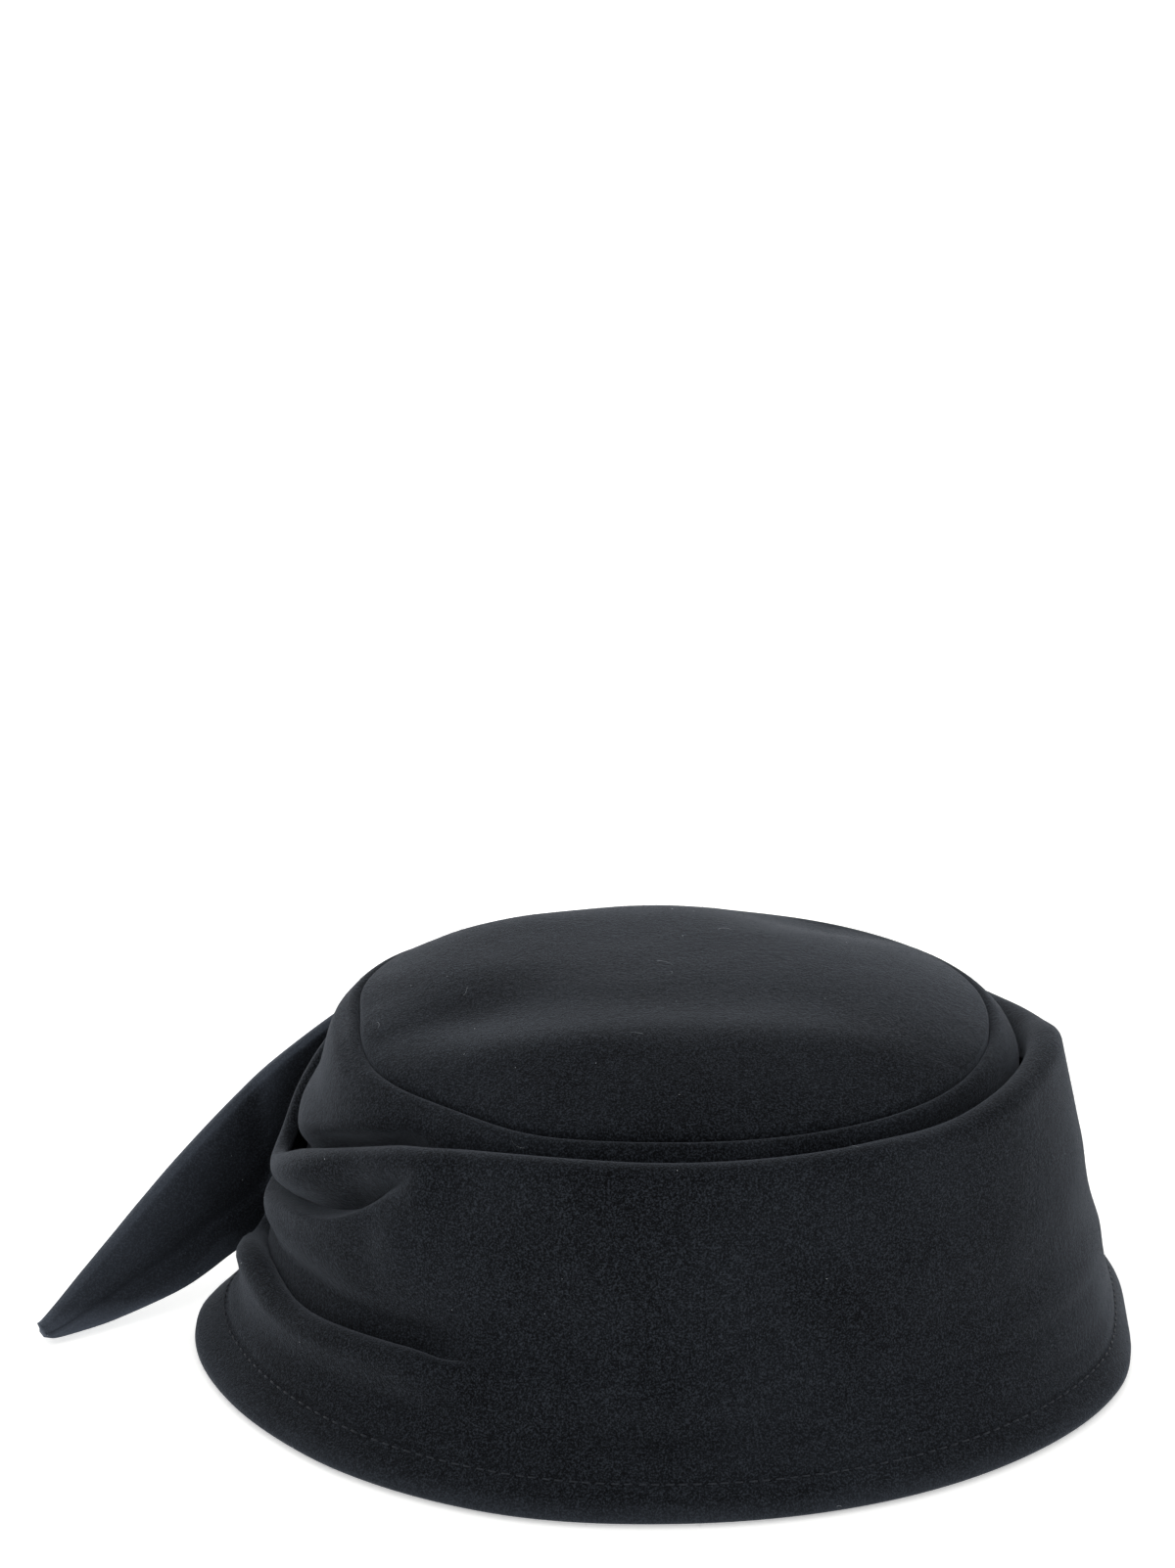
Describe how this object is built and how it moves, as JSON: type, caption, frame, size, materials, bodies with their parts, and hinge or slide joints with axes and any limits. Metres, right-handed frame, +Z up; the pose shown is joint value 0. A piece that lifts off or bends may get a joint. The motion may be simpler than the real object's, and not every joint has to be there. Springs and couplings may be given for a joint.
{
  "type": "draped wool cap",
  "caption": "Soft wool cap with an oval domed tip, a conical crown side, a wide draped band with a gathered side and a short flared brim, and a pointed tail.",
  "frame": {"origin": "centre of the head opening, on the surface that the cap rests on", "axes": "+X towards the cap's front, away from the tail, along its longest extent; +Z up through the crown; +Y towards the cap's left side"},
  "size_m": [0.2677, 0.2076, 0.0927],
  "materials": {
    "wool_felt": "matte napped wool melton, near-black navy"
  },
  "bodies": {
    "root": {"crown_tip": "wool_felt", "crown_side": "wool_felt", "drape_band": "wool_felt", "tail": "wool_felt"}
  },
  "joints": []
}
